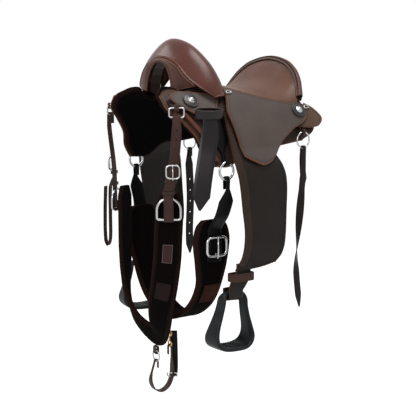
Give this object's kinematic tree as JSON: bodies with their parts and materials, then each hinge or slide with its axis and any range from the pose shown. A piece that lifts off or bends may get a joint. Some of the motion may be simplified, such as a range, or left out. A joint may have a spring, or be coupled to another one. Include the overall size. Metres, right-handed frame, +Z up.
{
  "type": "stock saddle",
  "caption": "Leather stock saddle with swell fork, fenders and bell stirrups, padded girth, breast collar with a tie-down strap, and rear hanging straps.",
  "frame": {"origin": "on the middle of the horse's back, between the two panels", "axes": "-Y towards the horse's head, +Z up, +X to the horse's left"},
  "size_m": [0.5929, 0.4918, 0.9998],
  "materials": {
    "tree_composite": "satin moulded composite",
    "swell_leather": "smooth, worn to a shine",
    "band_leather": "smooth, worn",
    "seat_leather": "smooth, cracked with age",
    "jockey_leather": "grained, dusty",
    "strap_leather": "smooth, dull",
    "latigo_leather": "oiled, soft sheen",
    "fender_leather": "grained, nearly black",
    "felt": "dense black felt",
    "bright_steel": "polished",
    "brass": "plain, slightly dull"
  },
  "bodies": {
    "saddle": {"saddle_tree": "tree_composite", "swell_cover": "swell_leather", "gullet_band": "band_leather", "seat_cover": "seat_leather", "cantle_cover": "seat_leather", "seat_jockey_left": "jockey_leather", "seat_jockey_right": "jockey_leather", "front_jockey_left": "jockey_leather", "front_jockey_right": "jockey_leather", "rear_jockey_left": "strap_leather", "rear_jockey_right": "strap_leather", "skirt_left": "band_leather", "skirt_right": "band_leather", "panel_left": "felt", "panel_right": "felt", "front_concho_left": "bright_steel", "front_concho_right": "bright_steel", "rear_concho_left": "bright_steel", "rear_concho_right": "bright_steel", "front_ring_chape_left": "strap_leather", "front_ring_chape_right": "strap_leather", "rear_ring_chape_left": "strap_leather", "rear_ring_chape_right": "strap_leather", "rigging_strap_left": "latigo_leather", "rigging_strap_right": "latigo_leather", "latigo_keeper": "latigo_leather"},
    "fender_left": {"fender_left": "fender_leather", "hobble_left": "strap_leather"},
    "fender_right": {"fender_right": "fender_leather", "hobble_right": "strap_leather"},
    "stirrup_left": {"stirrup_left": "tree_composite"},
    "stirrup_right": {"stirrup_right": "tree_composite"},
    "latigo_tail": {"latigo_tail": "latigo_leather"},
    "rear_strap_left": {"rear_ring_left": "bright_steel", "rear_strap_left": "latigo_leather"},
    "rear_strap_right": {"rear_ring_right": "bright_steel", "rear_strap_right": "latigo_leather"},
    "breast_collar": {"front_ring_left": "bright_steel", "front_ring_right": "bright_steel", "adjuster_strap_left": "strap_leather", "adjuster_strap_right": "strap_leather", "adjuster_buckle_left": "bright_steel", "adjuster_buckle_right": "bright_steel", "collar_ring_left": "bright_steel", "collar_ring_right": "bright_steel", "breast_pad": "felt"},
    "adjuster_tongue_left": {"adjuster_tongue_left": "bright_steel"},
    "adjuster_tongue_right": {"adjuster_tongue_right": "bright_steel"},
    "tie_down": {"centre_ring": "bright_steel", "tie_down_strap": "strap_leather", "tie_down_snap": "brass"},
    "girth": {"rigging_ring_left": "bright_steel", "rigging_ring_right": "bright_steel", "latigo_left": "latigo_leather", "latigo_right": "latigo_leather", "girth_buckle_left": "bright_steel", "girth_buckle_right": "bright_steel", "girth": "felt"},
    "girth_tongue_left": {"girth_tongue_left": "bright_steel"},
    "girth_tongue_right": {"girth_tongue_right": "bright_steel"}
  },
  "joints": [
    {"name": "fender_left_swing", "type": "hinge", "parent": "saddle", "child": "fender_left", "pos_m": [0.1935, -0.045, 0.04], "axis": [0.8943, -0.0537, 0.4442], "range_deg": [-20, 20]},
    {"name": "fender_right_swing", "type": "hinge", "parent": "saddle", "child": "fender_right", "pos_m": [-0.1935, -0.045, 0.04], "axis": [0.8943, 0.0537, -0.4442], "range_deg": [-24, 12]},
    {"name": "stirrup_left_swing", "type": "hinge", "parent": "fender_left", "child": "stirrup_left", "pos_m": [0.258, -0.101, -0.415], "axis": [-0.0868, 0.9924, -0.0872], "range_deg": [-35, 35]},
    {"name": "stirrup_right_swing", "type": "hinge", "parent": "fender_right", "child": "stirrup_right", "pos_m": [-0.26097, -0.07046, -0.4173], "axis": [-0.1174, -0.9928, 0.0255], "range_deg": [-35, 35]},
    {"name": "latigo_tail_swing", "type": "hinge", "parent": "saddle", "child": "latigo_tail", "pos_m": [0.2108, -0.1435, 0.0422], "axis": [-0.3, -0.9539, 0], "range_deg": [0, 45]},
    {"name": "rear_strap_left_swing", "type": "hinge", "parent": "saddle", "child": "rear_strap_left", "pos_m": [0.228, 0.162, 0.002], "axis": [1, 0, 0], "range_deg": [-10, 30]},
    {"name": "rear_strap_right_swing", "type": "hinge", "parent": "saddle", "child": "rear_strap_right", "pos_m": [-0.2346, 0.094, -0.025], "axis": [1, 0, 0], "range_deg": [-10, 30]},
    {"name": "breast_collar_swing", "type": "hinge", "parent": "saddle", "child": "breast_collar", "pos_m": [0, -0.221, 0.072], "axis": [-1, 0, 0], "range_deg": [0, 40]},
    {"name": "adjuster_tongue_left_lift", "type": "hinge", "parent": "breast_collar", "child": "adjuster_tongue_left", "pos_m": [0.16472, -0.2267, -0.11], "axis": [0.5736, 0.8191, 0], "range_deg": [0, 110]},
    {"name": "adjuster_tongue_right_lift", "type": "hinge", "parent": "breast_collar", "child": "adjuster_tongue_right", "pos_m": [-0.16472, -0.2267, -0.11], "axis": [0.5736, -0.8191, 0], "range_deg": [0, 110]},
    {"name": "tie_down_swing", "type": "hinge", "parent": "breast_collar", "child": "tie_down", "pos_m": [0, -0.1805, -0.616], "axis": [1, 0, 0], "range_deg": [-45, 10]},
    {"name": "girth_swing", "type": "hinge", "parent": "saddle", "child": "girth", "pos_m": [0, -0.104, -0.07], "axis": [1, 0, 0], "range_deg": [-5, 8]},
    {"name": "girth_tongue_left_lift", "type": "hinge", "parent": "girth", "child": "girth_tongue_left", "pos_m": [0.2004, -0.112, -0.32], "axis": [0, 1, 0], "range_deg": [0, 110]},
    {"name": "girth_tongue_right_lift", "type": "hinge", "parent": "girth", "child": "girth_tongue_right", "pos_m": [-0.2004, -0.112, -0.32], "axis": [0, -1, 0], "range_deg": [0, 110]}
  ]
}
